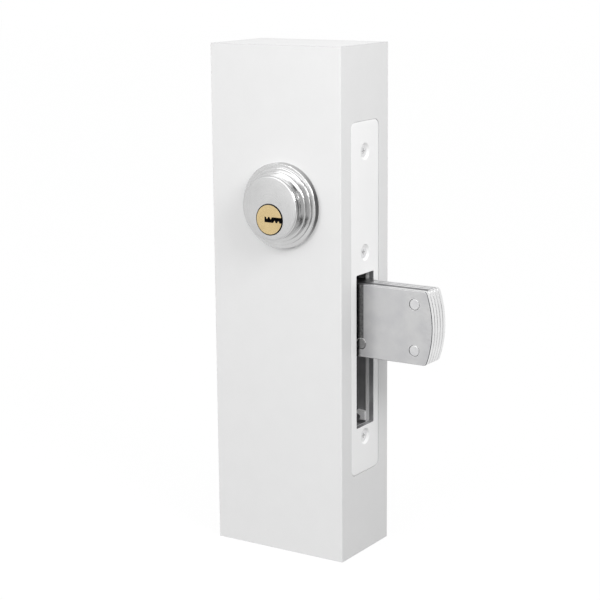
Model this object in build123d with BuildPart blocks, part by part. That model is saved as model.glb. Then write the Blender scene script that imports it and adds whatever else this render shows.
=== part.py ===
from build123d import *
import math
import os

os.makedirs("parts", exist_ok=True)

# All sizes are in millimetres. X runs across the stile towards the edge that the bolt leaves, Y runs
# through the door from the key side (-Y) to the room side (+Y), and Z runs up from the stile's base.
# Heights build up from the faceplate's bottom end: the slot, the bolt, the cylinders, then the case.

# Door stile
stile_height = 252.0
stile_width = 74.0
stile_thickness = 44.5
stile_wall = 3.0
stile_corner = 0.5
stile_hole_clearance = 0.8
cap_thickness = 3.0
cap_skirt = 10.0
cap_clearance = 0.05

# Faceplate and its screws
faceplate_width = 26.0
faceplate_height = 174.6
faceplate_thickness = 2.5
faceplate_bottom = 41.2
faceplate_corner = 3.5
faceplate_edge = 0.5
faceplate_clearance = 0.1
slot_width = 16.4
slot_height = 76.8
slot_rise = 23.7
slot_corner = 0.6
lower_screw_drop = 5.6
middle_screw_rise = 10.3
upper_screw_rise = 3.2
screw_radius = 1.9
screw_head_radius = 3.1
screw_sink = 1.0
screw_clearance = 0.15
screw_recess_length = 3.0
screw_recess_width = 0.8
screw_recess_depth = 1.0
screw_recess_taper = 12.0
seat_clearance = 0.02

# Lock case
case_gap = 18.0
case_wall = 2.0
case_foot = 5.8
case_head = 22.4
case_depth = 53.0
mouth_width = 16.0
mouth_lower_margin = 0.9
mouth_upper_margin = 1.3
post_size = 6.6
post_length = 5.5
spacer_radius = 3.2
rivet_radius = 1.8
rivet_head_radius = 2.9
rivet_head_height = 1.2
rivet_clearance = 0.05
spacer_inset = 4.0

# Lugs, clips and mounting screws
lug_thickness = 3.0
lug_width = 19.6
lug_foot_length = 20.0
lug_foot_thickness = 2.5
lug_rise = 16.0
lower_lug_drop = 11.5
lug_rivet_setback = 10.0
lug_rivet_pitch = 8.0
clip_width = 37.0
clip_height = 8.0
clip_thickness = 3.0
clip_hook_clearance = 0.4
upper_mount_rise = 11.0
lower_mount_drop = 7.2
mount_screw_radius = 1.5
mount_head_radius = 2.8
mount_screw_tip = 0.5

# Bolt
plate_count = 5
plate_thickness = 2.7
bolt_height = 36.2
bolt_drop = 4.1
bolt_throw = 40.8
nose_rise = 3.4
nose_corner = 2.0
plate_break = 0.25
pivot_below_top = 15.5
bolt_setback = 0.5
heel_length = 13.0
heel_corner = 10.0
tail_root_radius = 10.0
tail_reach = 18.0
tail_wall = 2.8
bolt_rivet_radius = 2.75
bolt_rivet_inset = 6.8
nose_rivet_setback = 9.7
root_rivet_out = 1.7
rivet_fit = 0.04

# Bolt pivot
pivot_pin_radius = 3.5
bush_wall = 1.5
washer_radius = 4.6
washer_clearance = 0.15
running_clearance = 0.05

# Cylinder places and the drive lever
backset = 33.0
cylinder_rise = 53.5
plug_drop = 5.4
lever_drop = 23.3
lever_thickness = 1.6
lever_side_gap = 0.3
lever_hub_radius = 6.0
lever_pin_radius = 3.5
drive_pin_radius = 2.0
drive_end_radius = 3.6
drive_slot_clearance = 0.3
slot_steps = 12
prong_radius = 1.8
prong_gap = 0.5
notch_clearance = 0.4
notch_turn = 72.0
notch_steps = 4
bolt_swing = 90.0
key_turn = 360.0
detent_gap = 0.1
detent_flat = 0.4
detent_thickness = 0.6
detent_width = 10.0
detent_flat_length = 5.0
detent_lean_drop = 18.0
detent_root_drop = 29.0
detent_curl = 150.0
guide_thickness = 1.6
guide_clearance = 2.2
guide_height = 4.8
guide_length = 4.4
guide_upper_rise = 0.3
guide_upper_drop = 1.7
guide_upper_tip = 1.1
guide_notch_depth = 2.6
guide_notch_height = 2.0
guide_lower_tip = 3.4
guide_corner = 0.3

# Cylinders
thread_radius = 14.7
thread_clearance = 0.05
head_radius = 15.6
head_thickness = 5.1
head_edge = 0.8
trim_radius = 20.8
trim_base = 3.2
trim_step_radius = 18.9
trim_step = 4.2
trim_lip_radius = 17.1
trim_height = 6.3
trim_edge = 0.5
trim_bore_clearance = 0.2
ring_radius = 18.0
ring_thickness = 5.0
set_screw_radius = 1.5
plug_radius = 6.5
plug_face_radius = 7.1
plug_face_thickness = 2.0
plug_stand = 0.4
plug_pocket_gap = 0.6
keyway_left = 2.6
keyway_height = 2.7
keyway_depth = 22.0
keyway_teeth = 2
keyway_first_tooth = 1.4
keyway_tooth_pitch = 2.15
keyway_tooth_width = 1.4
keyway_tooth_height = 1.15
pin_count = 5
pin_pitch = 3.15
first_pin_depth = 7.8
pin_radius = 1.35
pin_bore_clearance = 0.1
key_pin_point = 1.0
key_pin_taper = 40.0
driver_length = 3.6
spring_wire = 0.35
strip_width = 3.6
strip_thickness = 1.4
strip_end = 0.5
cam_thickness = 2.2
cam_gap = 0.3
cam_hub_radius = 5.2
cam_tip_radius = 13.0
cam_arm_width = 6.0
cam_screw_radius = 1.0
cam_screw_head_radius = 1.6
cam_screw_head_height = 1.3
cam_screw_spread = 3.4
cam_screw_length = 3.2
knob_base_radius = 9.0
knob_base_thickness = 2.6
knob_length = 32.0
knob_width = 9.0
knob_height = 17.0
knob_taper = 3.0
knob_gap = 0.3
knob_tang_length = 9.0
knob_tang_width = 6.0
knob_screw_radius = 1.0
knob_screw_setback = 2.4
knob_screw_recess = 0.2
knob_edge = 1.6

# Places worked out from the sizes above
edge_x = stile_width / 2
case_front_x = edge_x - faceplate_thickness
case_back_x = case_front_x - case_depth
case_side_y = case_gap / 2
case_outer_y = case_side_y + case_wall
wall_y = stile_thickness / 2
bolt_thickness = plate_count * plate_thickness
bolt_side_y = bolt_thickness / 2
slot_bottom = faceplate_bottom + slot_rise
slot_top = slot_bottom + slot_height
bolt_top = slot_top - bolt_drop
pivot_x = edge_x - pivot_below_top - bolt_setback
pivot_z = bolt_top - pivot_below_top
cylinder_height = pivot_z + cylinder_rise
plug_x = edge_x - backset
plug_z = cylinder_height - plug_drop
lever_x = plug_x
lever_z = plug_z - lever_drop
lever_side_y = bolt_side_y + lever_side_gap
faceplate_middle = faceplate_bottom + faceplate_height / 2
lower_screw_height = slot_bottom - lower_screw_drop
middle_screw_height = slot_top + middle_screw_rise
case_bottom = lower_screw_height - case_foot
case_top = cylinder_height + case_head
upper_screw_height = case_top + upper_screw_rise
screw_heights = (lower_screw_height, middle_screw_height, upper_screw_height)
upper_mount_height = case_top + upper_mount_rise
lower_mount_height = case_bottom - lower_mount_drop
mouth_bottom = slot_bottom - mouth_lower_margin
mouth_top = slot_top + mouth_upper_margin

# The drive pin sits as far from the bolt's pivot at both ends of the swing, so the line from the bolt's
# pivot to the lever's pivot halves the swing, and the lever's own swing follows from it.
pivot_span = math.hypot(lever_x - pivot_x, lever_z - pivot_z)
span_angle = math.degrees(math.atan2(lever_z - pivot_z, lever_x - pivot_x))
half_chord = tail_reach * math.sin(math.radians(bolt_swing / 2))
chord_rise = tail_reach * math.cos(math.radians(bolt_swing / 2))
lever_swing = 2 * math.degrees(math.atan2(half_chord, pivot_span - chord_rise))
lever_ratio = lever_swing / bolt_swing
key_ratio = key_turn / bolt_swing


def turned(point, centre, degrees):
    """A point turned about a pivot, clockwise as seen from the key side."""
    angle = math.radians(degrees)
    across, up = point[0] - centre[0], point[1] - centre[1]
    return (
        centre[0] + across * math.cos(angle) + up * math.sin(angle),
        centre[1] - across * math.sin(angle) + up * math.cos(angle),
    )


def face_at(y):
    """The sketch plane at a depth in the door, whose extrusions grow towards the key side."""
    return Plane.XZ.offset(-y)


def hull_of(circles):
    """The outline drawn tight round a set of circles, each given as a centre and a radius."""
    with BuildSketch() as outline:
        for centre, radius in circles:
            with Locations(centre):
                Circle(radius)
        make_hull()
    return outline.sketch_local.face()


def write(part, name):
    """Labels a finished piece and writes its file."""
    part.label = name
    export_step(part, f"parts/{name}.step")


bolt_pivot = (pivot_x, pivot_z)
lever_pivot = (lever_x, lever_z)
plug_centre = (plug_x, plug_z)
tail_angle = math.radians(span_angle + bolt_swing / 2)
drive_pin_centre = (pivot_x + tail_reach * math.cos(tail_angle), pivot_z + tail_reach * math.sin(tail_angle))
lever_lean = lever_swing / 2

# Stile: a hollow aluminium extrusion with the faceplate's opening and a hole for each cylinder
with BuildPart() as stile_section:
    with BuildSketch():
        RectangleRounded(stile_width, stile_thickness, stile_corner)
        Rectangle(stile_width - 2 * stile_wall, stile_thickness - 2 * stile_wall, mode=Mode.SUBTRACT)
    extrude(amount=stile_height)
    with BuildSketch(Plane.YZ.offset(edge_x - stile_wall)):
        with Locations((0, faceplate_middle)):
            RectangleRounded(
                faceplate_width + 2 * faceplate_clearance,
                faceplate_height + 2 * faceplate_clearance,
                faceplate_corner,
            )
    extrude(amount=stile_wall, mode=Mode.SUBTRACT)
    with BuildSketch(face_at(wall_y)):
        with Locations((plug_x, cylinder_height)):
            Circle(thread_radius + stile_hole_clearance)
    extrude(amount=stile_thickness, mode=Mode.SUBTRACT)
write(stile_section.part, "stile_section")


def stile_cap():
    """A flush end cap with a skirt that plugs into the stile."""
    inner_width = stile_width - 2 * (stile_wall + cap_clearance)
    inner_thickness = stile_thickness - 2 * (stile_wall + cap_clearance)
    with BuildPart() as cap:
        with BuildSketch():
            Rectangle(inner_width, inner_thickness)
        extrude(amount=cap_thickness)
        with BuildSketch(Plane.XY.offset(cap_thickness)):
            Rectangle(inner_width, inner_thickness)
            Rectangle(inner_width - 2 * stile_wall, inner_thickness - 2 * stile_wall, mode=Mode.SUBTRACT)
        extrude(amount=cap_skirt)
    return cap.part


write(stile_cap(), "stile_cap_bottom")
write(Pos(0, 0, stile_height) * Rot(180, 0, 0) * stile_cap(), "stile_cap_top")

# Faceplate: white plate with the bolt's slot and three countersunk holes
with BuildPart() as faceplate:
    with BuildSketch(Plane.YZ.offset(case_front_x)):
        with Locations((0, faceplate_middle)):
            RectangleRounded(faceplate_width, faceplate_height, faceplate_corner)
        with Locations((0, slot_bottom + slot_height / 2)):
            RectangleRounded(slot_width, slot_height, slot_corner, mode=Mode.SUBTRACT)
    extrude(amount=faceplate_thickness)
    rim = faceplate.faces().sort_by(Axis.X)[-1].outer_wire().edges()
    fillet(rim, faceplate_edge)
    with Locations(*[Plane.YZ.offset(edge_x) * Pos(0, z) for z in screw_heights]):
        CounterSinkHole(
            screw_radius + screw_clearance,
            screw_head_radius + screw_sink + seat_clearance,
            counter_sink_angle=90,
        )
write(faceplate.part, "faceplate")


def flat_head_screw(height, head_radius, shank_radius, length, sink, recess):
    """A countersunk screw that enters along -X from just under the face it fastens."""
    head_height = head_radius - shank_radius
    with BuildPart() as screw:
        with BuildSketch(Plane.XZ):
            with BuildLine():
                Polyline(
                    (0, 0),
                    (0, head_radius),
                    (-head_height, shank_radius),
                    (-length + shank_radius / 2, shank_radius),
                    (-length, shank_radius / 2),
                    (-length, 0),
                    close=True,
                )
            make_face()
        revolve(axis=Axis.X)
        if recess:
            with BuildSketch(Plane.YZ):
                Rectangle(screw_recess_length, screw_recess_width)
                Rectangle(screw_recess_width, screw_recess_length)
            extrude(amount=-screw_recess_depth, taper=screw_recess_taper, mode=Mode.SUBTRACT)
    return Pos(edge_x - sink, 0, height) * screw.part


post_back_x = case_front_x - case_wall - post_length
faceplate_screw_length = edge_x - screw_sink - post_back_x
lug_back_x = case_front_x - lug_thickness
screw_lengths = (faceplate_screw_length, faceplate_screw_length, edge_x - screw_sink - lug_back_x)
with BuildPart() as faceplate_screws:
    for height, length in zip(screw_heights, screw_lengths):
        add(flat_head_screw(height, screw_head_radius, screw_radius, length, screw_sink, True))
write(faceplate_screws.part, "faceplate_screws")

# Case: a steel shell with a folded rim, open behind the slot, closed by a cover on the key side
case_length = case_top - case_bottom
case_middle = (case_bottom + case_top) / 2
case_centre = ((case_front_x + case_back_x) / 2, case_middle)
detent_root_height = lever_z - detent_root_drop
rear_spacer_x = case_back_x + case_wall + spacer_inset
front_spacer_x = case_front_x - case_wall - spacer_inset
top_spacer_height = case_top - case_wall - spacer_inset
spacer_places = (
    (rear_spacer_x, case_bottom + case_wall + 2 * spacer_inset),
    (rear_spacer_x, detent_root_height),
    (rear_spacer_x, top_spacer_height),
    (front_spacer_x, top_spacer_height),
)
cylinder_centre = (plug_x, cylinder_height)
lug_rivet_places = (
    (lug_back_x - lug_rivet_setback, 0),
    (lug_back_x - lug_rivet_setback - lug_rivet_pitch, 0),
)


def case_holes():
    """Circles where rivets, pins and cylinders pass through a case plate, in a sketch on that plate."""
    with Locations(*spacer_places):
        Circle(rivet_radius + rivet_clearance, mode=Mode.SUBTRACT)
    with Locations(bolt_pivot):
        Circle(pivot_pin_radius + rivet_clearance, mode=Mode.SUBTRACT)
    with Locations(lever_pivot):
        Circle(lever_pin_radius + rivet_clearance, mode=Mode.SUBTRACT)
    with Locations(cylinder_centre):
        Circle(thread_radius + thread_clearance, mode=Mode.SUBTRACT)


with BuildPart() as case_shell:
    with BuildSketch(face_at(case_outer_y)):
        with Locations(case_centre):
            Rectangle(case_depth, case_length)
        case_holes()
    extrude(amount=case_wall)
    with BuildSketch(face_at(case_side_y)):
        with Locations(case_centre):
            Rectangle(case_depth, case_length)
            Rectangle(case_depth - 2 * case_wall, case_length - 2 * case_wall, mode=Mode.SUBTRACT)
    extrude(amount=case_gap)
    rim_corners = case_shell.edges().filter_by(Axis.Y).filter_by_position(Axis.X, case_back_x, case_back_x)
    fillet(rim_corners, case_wall)
    with BuildSketch(Plane.YZ.offset(case_front_x - case_wall)):
        with Locations((0, (mouth_bottom + mouth_top) / 2)):
            Rectangle(mouth_width, mouth_top - mouth_bottom)
        with Locations((0, lower_screw_height), (0, middle_screw_height)):
            Circle(screw_radius + screw_clearance)
    extrude(amount=case_wall, mode=Mode.SUBTRACT)
    for end_height in (case_bottom, case_top - case_wall):
        with BuildSketch(Plane.XY.offset(end_height)):
            with Locations(*lug_rivet_places):
                Circle(rivet_radius + rivet_clearance)
        extrude(amount=case_wall, mode=Mode.SUBTRACT)
write(case_shell.part, "case_shell")

with BuildPart() as case_cover:
    with BuildSketch(face_at(-case_side_y)):
        with Locations(case_centre):
            RectangleRounded(case_depth, case_length, case_wall)
        case_holes()
    extrude(amount=case_wall)
write(case_cover.part, "case_cover")

with BuildPart() as case_spacers:
    with BuildSketch(face_at(case_side_y)):
        with Locations(*spacer_places):
            Circle(spacer_radius)
            Circle(rivet_radius + rivet_clearance, mode=Mode.SUBTRACT)
    extrude(amount=case_gap)
write(case_spacers.part, "case_spacers")

with BuildPart() as case_rivets:
    with BuildSketch(face_at(case_outer_y)):
        with Locations(*spacer_places):
            Circle(rivet_radius)
    extrude(amount=2 * case_outer_y)
    for head_y in (case_outer_y + rivet_head_height, -case_outer_y):
        with BuildSketch(face_at(head_y)):
            with Locations(*spacer_places):
                Circle(rivet_head_radius)
        extrude(amount=rivet_head_height)
    rims = case_rivets.edges().filter_by(GeomType.CIRCLE).group_by(Axis.Y)
    chamfer([*rims[0], *rims[-1]], rivet_head_height / 2)
write(case_rivets.part, "case_rivets")

with BuildPart() as case_posts:
    for height in (lower_screw_height, middle_screw_height):
        with BuildSketch(Plane.YZ.offset(post_back_x)):
            with Locations((0, height)):
                Rectangle(case_gap, post_size)
                Circle(screw_radius + rivet_clearance, mode=Mode.SUBTRACT)
        extrude(amount=post_length)
write(case_posts.part, "case_posts")


# Lugs: angle plates on the ends of the case that take the upper screw and the mounting screws
def end_lug(case_end, upright_end, mount_height, tapped_heights):
    """An angle plate whose foot lies on an end of the case and whose upright backs the faceplate."""
    upward = upright_end > case_end
    foot_bottom = case_end if upward else case_end - lug_foot_thickness
    with BuildPart() as lug:
        with BuildSketch(Plane.YZ.offset(lug_back_x)):
            with Locations((0, (case_end + upright_end) / 2)):
                Rectangle(lug_width, abs(upright_end - case_end))
            for height in tapped_heights:
                with Locations((0, height)):
                    Circle(screw_radius + rivet_clearance, mode=Mode.SUBTRACT)
        extrude(amount=lug_thickness)
        with BuildSketch(Plane.XY.offset(foot_bottom)):
            with Locations((lug_back_x - lug_foot_length / 2, 0)):
                Rectangle(lug_foot_length, lug_width)
            with Locations(*lug_rivet_places):
                Circle(rivet_radius + rivet_clearance, mode=Mode.SUBTRACT)
        extrude(amount=lug_foot_thickness)
        with Locations(Plane.YZ.offset(case_front_x) * Pos(0, mount_height)):
            CounterSinkHole(
                mount_screw_radius + rivet_clearance,
                mount_head_radius + screw_clearance,
                counter_sink_angle=90,
            )
    return lug.part


upper_lug_top = case_top + lug_rise
lower_lug_bottom = case_bottom - lower_lug_drop
write(end_lug(case_top, upper_lug_top, upper_mount_height, (upper_screw_height,)), "upper_lug")
write(end_lug(case_bottom, lower_lug_bottom, lower_mount_height, ()), "lower_lug")

with BuildPart() as lug_rivets:
    stack = case_wall + lug_foot_thickness
    for stack_bottom in (case_bottom - lug_foot_thickness, case_top - case_wall):
        with BuildSketch(Plane.XY.offset(stack_bottom - rivet_head_height)):
            with Locations(*lug_rivet_places):
                Circle(rivet_radius)
        extrude(amount=stack + 2 * rivet_head_height)
        for head_bottom in (stack_bottom - rivet_head_height, stack_bottom + stack):
            with BuildSketch(Plane.XY.offset(head_bottom)):
                with Locations(*lug_rivet_places):
                    Circle(rivet_head_radius)
            extrude(amount=rivet_head_height)
write(lug_rivets.part, "lug_rivets")

# Clips: bars behind the lugs whose ends hook behind the stile's edge wall
with BuildPart() as stile_clips:
    for mount_height in (lower_mount_height, upper_mount_height):
        with BuildSketch(Plane.XY.offset(mount_height - clip_height / 2)):
            with Locations((lug_back_x - clip_thickness / 2, 0)):
                Rectangle(clip_thickness, clip_width)
            hook_length = edge_x - stile_wall - lug_back_x
            hook_width = (clip_width - faceplate_width) / 2 - clip_hook_clearance
            for side in (-1, 1):
                with Locations((lug_back_x + hook_length / 2, side * (clip_width - hook_width) / 2)):
                    Rectangle(hook_length, hook_width)
        extrude(amount=clip_height)
        with Locations(Plane.YZ.offset(lug_back_x) * Pos(0, mount_height)):
            Hole(mount_screw_radius + rivet_clearance)
write(stile_clips.part, "stile_clips")

with BuildPart() as mounting_screws:
    for mount_height in (lower_mount_height, upper_mount_height):
        screw_length = lug_thickness + clip_thickness + mount_screw_tip
        add(
            flat_head_screw(
                mount_height,
                mount_head_radius,
                mount_screw_radius,
                screw_length,
                faceplate_thickness + screw_clearance,
                False,
            )
        )
write(mounting_screws.part, "mounting_screws")


# Threaded rings: steel rings welded to both sides of the case, into which the cylinders screw
def thread_ring(outer_y):
    """A ring that ends at a depth in the door, with a tapped hole through its edge side."""
    with BuildPart() as ring:
        with BuildSketch(face_at(outer_y)):
            with Locations(cylinder_centre):
                Circle(ring_radius)
                Circle(thread_radius + thread_clearance, mode=Mode.SUBTRACT)
        extrude(amount=ring_thickness)
        with BuildSketch(Plane.YZ.offset(plug_x)):
            with Locations((outer_y - ring_thickness / 2, cylinder_height)):
                Circle(set_screw_radius + rivet_clearance)
        extrude(amount=ring_radius, mode=Mode.SUBTRACT)
    return ring.part


write(thread_ring(-case_outer_y), "outer_thread_ring")
write(thread_ring(case_outer_y + ring_thickness), "inner_thread_ring")

with BuildPart() as ring_set_screws:
    for side in (-1, 1):
        with BuildSketch(Plane.YZ.offset(plug_x + thread_radius + 2 * thread_clearance)):
            with Locations((side * (case_outer_y + ring_thickness / 2), cylinder_height)):
                Circle(set_screw_radius)
        extrude(amount=ring_radius - thread_radius - 3 * thread_clearance)
write(ring_set_screws.part, "ring_set_screws")

# Bolt: riveted steel plates with a curved nose and a tail whose slot takes the drive pin
bolt_bottom = bolt_top - bolt_height
nose_x = edge_x + bolt_throw
nose_corner_x = nose_x - nose_rise
heel_x = pivot_x - heel_length
bush_radius = pivot_pin_radius + running_clearance + bush_wall
bolt_rivet_places = (
    (nose_x - nose_rivet_setback, bolt_top - bolt_rivet_inset),
    (nose_x - nose_rivet_setback, bolt_bottom + bolt_rivet_inset),
    (edge_x + root_rivet_out, bolt_bottom + bolt_rivet_inset),
)
swing_steps = [bolt_swing * step / slot_steps for step in range(slot_steps + 1)]
slot_path = [
    turned(turned(drive_pin_centre, lever_pivot, -lever_ratio * swing), bolt_pivot, -swing)
    for swing in swing_steps
]
slot_radius = drive_pin_radius + drive_slot_clearance
drive_slot = hull_of([(point, slot_radius) for point in slot_path])
tail_outline = hull_of(
    [(point, slot_radius + tail_wall) for point in slot_path] + [(bolt_pivot, tail_root_radius)]
)


def bolt_plate(outer_y):
    """One plate of the bolt, whose room side lies at a depth in the door."""
    with BuildPart() as plate:
        with BuildSketch(face_at(outer_y)) as outline:
            with BuildLine():
                Polyline(
                    (nose_corner_x, bolt_top),
                    (heel_x, bolt_top),
                    (heel_x, bolt_bottom),
                    (nose_corner_x, bolt_bottom),
                )
                ThreePointArc(
                    (nose_corner_x, bolt_bottom),
                    (nose_x, (bolt_top + bolt_bottom) / 2),
                    (nose_corner_x, bolt_top),
                )
            make_face()
            fillet(outline.vertices().group_by(Axis.X)[-1], nose_corner)
            fillet(outline.vertices().group_by(Axis.X)[0], heel_corner)
            add(tail_outline)
            with Locations(bolt_pivot):
                Circle(bush_radius + rivet_fit, mode=Mode.SUBTRACT)
            with Locations(*bolt_rivet_places):
                Circle(bolt_rivet_radius + rivet_fit, mode=Mode.SUBTRACT)
            add(drive_slot, mode=Mode.SUBTRACT)
        extrude(amount=plate_thickness)
        for face in (plate.faces().sort_by(Axis.Y)[0], plate.faces().sort_by(Axis.Y)[-1]):
            chamfer(face.outer_wire().edges(), plate_break)
    return plate.part


for number in range(plate_count):
    write(bolt_plate(-bolt_side_y + (number + 1) * plate_thickness), f"bolt_plate_{number + 1}")

with BuildPart() as bolt_rivets:
    with BuildSketch(face_at(bolt_side_y)):
        with Locations(*bolt_rivet_places):
            Circle(bolt_rivet_radius)
    extrude(amount=bolt_thickness)
write(bolt_rivets.part, "bolt_rivets")

with BuildPart() as bolt_bush:
    with BuildSketch(face_at(bolt_side_y)):
        with Locations(bolt_pivot):
            Circle(bush_radius)
            Circle(pivot_pin_radius + running_clearance, mode=Mode.SUBTRACT)
    extrude(amount=bolt_thickness)
write(bolt_bush.part, "bolt_bush")

with BuildPart() as bolt_washers:
    washer_thickness = case_side_y - bolt_side_y - 2 * washer_clearance
    for washer_y in (case_side_y - washer_clearance, -bolt_side_y - washer_clearance):
        with BuildSketch(face_at(washer_y)):
            with Locations(bolt_pivot):
                Circle(washer_radius)
                Circle(pivot_pin_radius + running_clearance, mode=Mode.SUBTRACT)
        extrude(amount=washer_thickness)
write(bolt_washers.part, "bolt_washers")


def case_pin(centre, radius):
    """A pin across the case, riveted over on both of its sides."""
    with BuildPart() as pin:
        with BuildSketch(face_at(case_outer_y)):
            with Locations(centre):
                Circle(radius)
        extrude(amount=2 * case_outer_y)
        for head_y in (case_outer_y + rivet_head_height, -case_outer_y):
            with BuildSketch(face_at(head_y)):
                with Locations(centre):
                    Circle(radius + rivet_head_radius - rivet_radius)
            extrude(amount=rivet_head_height)
    return pin.part


write(case_pin(bolt_pivot, pivot_pin_radius), "bolt_pivot_pin")
write(case_pin(lever_pivot, lever_pin_radius), "lever_pivot_pin")

# Guide clip: a small fish-tailed plate on the case wall that steadies the bolt as it folds away
guide_front_x = case_front_x - case_wall
guide_back_x = guide_front_x - guide_length
guide_bottom = lower_screw_height + post_size / 2 + guide_clearance
guide_top = guide_bottom + guide_height
with BuildPart() as bolt_guide_clip:
    with BuildSketch(face_at(case_side_y)) as guide_outline:
        with BuildLine():
            Polyline(
                (guide_front_x, guide_bottom),
                (guide_front_x, guide_top),
                (guide_back_x, guide_top + guide_upper_rise),
                (guide_back_x - guide_upper_tip, guide_top + guide_upper_rise - guide_upper_drop),
                (guide_front_x - guide_notch_depth, guide_bottom + guide_notch_height),
                (guide_front_x - guide_lower_tip, guide_bottom),
                close=True,
            )
        make_face()
        fillet(guide_outline.vertices(), guide_corner)
    extrude(amount=guide_thickness)
write(bolt_guide_clip.part, "bolt_guide_clip")

# Drive lever: two forked plates on a hub, joined by the drive pin that runs in the bolt's tail
cam_tip_round = cam_arm_width / 2
cam_tip_centre = (plug_x, plug_z + cam_tip_radius - cam_tip_round)
notch_turns = [
    key_turn / 2 + notch_turn * step / notch_steps for step in range(-notch_steps, notch_steps + 1)
]
notch_path = [
    turned(turned(cam_tip_centre, plug_centre, turn), lever_pivot, lever_ratio * turn / key_ratio)
    for turn in notch_turns
]
notch_reach = max(abs(turned(point, lever_pivot, -lever_lean)[0] - lever_x) for point in notch_path)
prong_side = notch_reach + cam_tip_round + notch_clearance + prong_radius
prong_reach = lever_drop - cam_hub_radius - prong_gap - prong_radius
prong_rise = math.sqrt(prong_reach**2 - prong_side**2)
prong_tips = [
    turned((lever_x + side * prong_side, lever_z + prong_rise), lever_pivot, lever_lean)
    for side in (-1, 1)
]
fork_outline = hull_of([(lever_pivot, lever_hub_radius)] + [(tip, prong_radius) for tip in prong_tips])
arm_outline = hull_of([(lever_pivot, lever_hub_radius), (drive_pin_centre, drive_end_radius)])
fork_notch = hull_of([(point, cam_tip_round + notch_clearance) for point in notch_path])


def lever_plate(outer_y):
    """One forked plate of the drive lever, whose room side lies at a depth in the door."""
    with BuildPart() as plate:
        with BuildSketch(face_at(outer_y)):
            add(fork_outline)
            add(fork_notch, mode=Mode.SUBTRACT)
            add(arm_outline)
            with Locations(lever_pivot):
                Circle(lever_pin_radius + running_clearance, mode=Mode.SUBTRACT)
            with Locations(drive_pin_centre):
                Circle(drive_pin_radius + rivet_fit, mode=Mode.SUBTRACT)
        extrude(amount=lever_thickness)
    return plate.part


write(lever_plate(-lever_side_y), "outer_lever_plate")
write(lever_plate(lever_side_y + lever_thickness), "inner_lever_plate")

with BuildPart() as lever_hub:
    with BuildSketch(face_at(lever_side_y)):
        with Locations(lever_pivot):
            Circle(lever_hub_radius)
            Circle(lever_pin_radius + running_clearance, mode=Mode.SUBTRACT)
        for turn in (0, lever_swing):
            flat_middle = 2 * lever_hub_radius - detent_flat
            flat_place = turned((lever_x - flat_middle, lever_z), lever_pivot, turn)
            with Locations(flat_place):
                Rectangle(2 * lever_hub_radius, 2 * lever_hub_radius, rotation=-turn, mode=Mode.SUBTRACT)
    extrude(amount=2 * lever_side_y)
write(lever_hub.part, "lever_hub")

with BuildPart() as drive_pin:
    with BuildSketch(face_at(lever_side_y + lever_thickness)):
        with Locations(drive_pin_centre):
            Circle(drive_pin_radius)
    extrude(amount=2 * (lever_side_y + lever_thickness))
write(drive_pin.part, "drive_pin")

# Detent spring: a leaf curled round the middle spacer that bears on the hub's flats
leaf_root_x = rear_spacer_x + spacer_radius + rivet_clearance + detent_thickness / 2
leaf_tip_x = lever_x - lever_hub_radius - detent_gap - detent_thickness / 2
with BuildPart() as detent_spring:
    with BuildSketch(face_at(detent_width / 2)):
        with BuildLine() as leaf:
            curl = CenterArc(
                (rear_spacer_x, detent_root_height),
                leaf_root_x - rear_spacer_x,
                -detent_curl,
                detent_curl,
            )
            climb = Line(curl @ 1, (leaf_root_x, lever_z - detent_lean_drop))
            lean = Line(climb @ 1, (leaf_tip_x, lever_z - detent_flat_length / 2))
            Line(lean @ 1, (leaf_tip_x, lever_z + detent_flat_length / 2))
        trace(leaf.wires(), line_width=detent_thickness)
    extrude(amount=detent_width)
write(detent_spring.part, "detent_spring")

# Cylinders: threaded bodies with flat round heads that clamp the trim rings against the stile
trim_front_y = -wall_y - trim_height
head_front_y = trim_front_y - head_thickness
plug_front_y = head_front_y - plug_stand
plug_rear_y = -case_side_y + cam_gap
pocket_radius = plug_face_radius + plug_pocket_gap


def trim_ring():
    """The stepped ring between the stile's key side and the cylinder's head."""
    steps = ((trim_radius, trim_base), (trim_step_radius, trim_step), (trim_lip_radius, trim_height))
    with BuildPart() as ring:
        for radius, height in steps:
            with BuildSketch(face_at(-wall_y)):
                with Locations(cylinder_centre):
                    Circle(radius)
            extrude(amount=height)
            fillet(ring.edges().group_by(Axis.Y)[0], trim_edge)
        with BuildSketch(face_at(-wall_y)):
            with Locations(cylinder_centre):
                Circle(thread_radius + trim_bore_clearance)
        extrude(amount=trim_height, mode=Mode.SUBTRACT)
    return ring.part


def cylinder_blank():
    """A cylinder's head and threaded body on the key side, before its bores."""
    with BuildPart() as blank:
        with BuildSketch(face_at(trim_front_y)):
            with Locations(cylinder_centre):
                Circle(head_radius)
        extrude(amount=head_thickness)
        fillet(blank.edges().group_by(Axis.Y)[0], head_edge)
        with BuildSketch(face_at(-case_side_y)):
            with Locations(cylinder_centre):
                Circle(thread_radius)
        extrude(amount=-trim_front_y - case_side_y)
    return blank.part


pin_depths = [first_pin_depth + pin_pitch * number for number in range(pin_count)]
pin_places = [(plug_x, plug_front_y + depth) for depth in pin_depths]
pin_bore = pin_radius + pin_bore_clearance
key_pin_top = plug_z + math.sqrt(plug_radius**2 - pin_radius**2) - running_clearance
driver_bottom = plug_z + plug_radius + 2 * running_clearance
strip_top = cylinder_height + math.sqrt(thread_radius**2 - strip_width**2 / 4) - running_clearance
strip_bottom = strip_top - strip_thickness
strip_length = pin_pitch * (pin_count - 1) + 2 * pin_bore + 2 * strip_end
strip_middle = (plug_x, plug_front_y + first_pin_depth + pin_pitch * (pin_count - 1) / 2)
keyway_top = plug_z + keyway_height / 2
keyway_bottom = plug_z - keyway_height / 2

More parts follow.
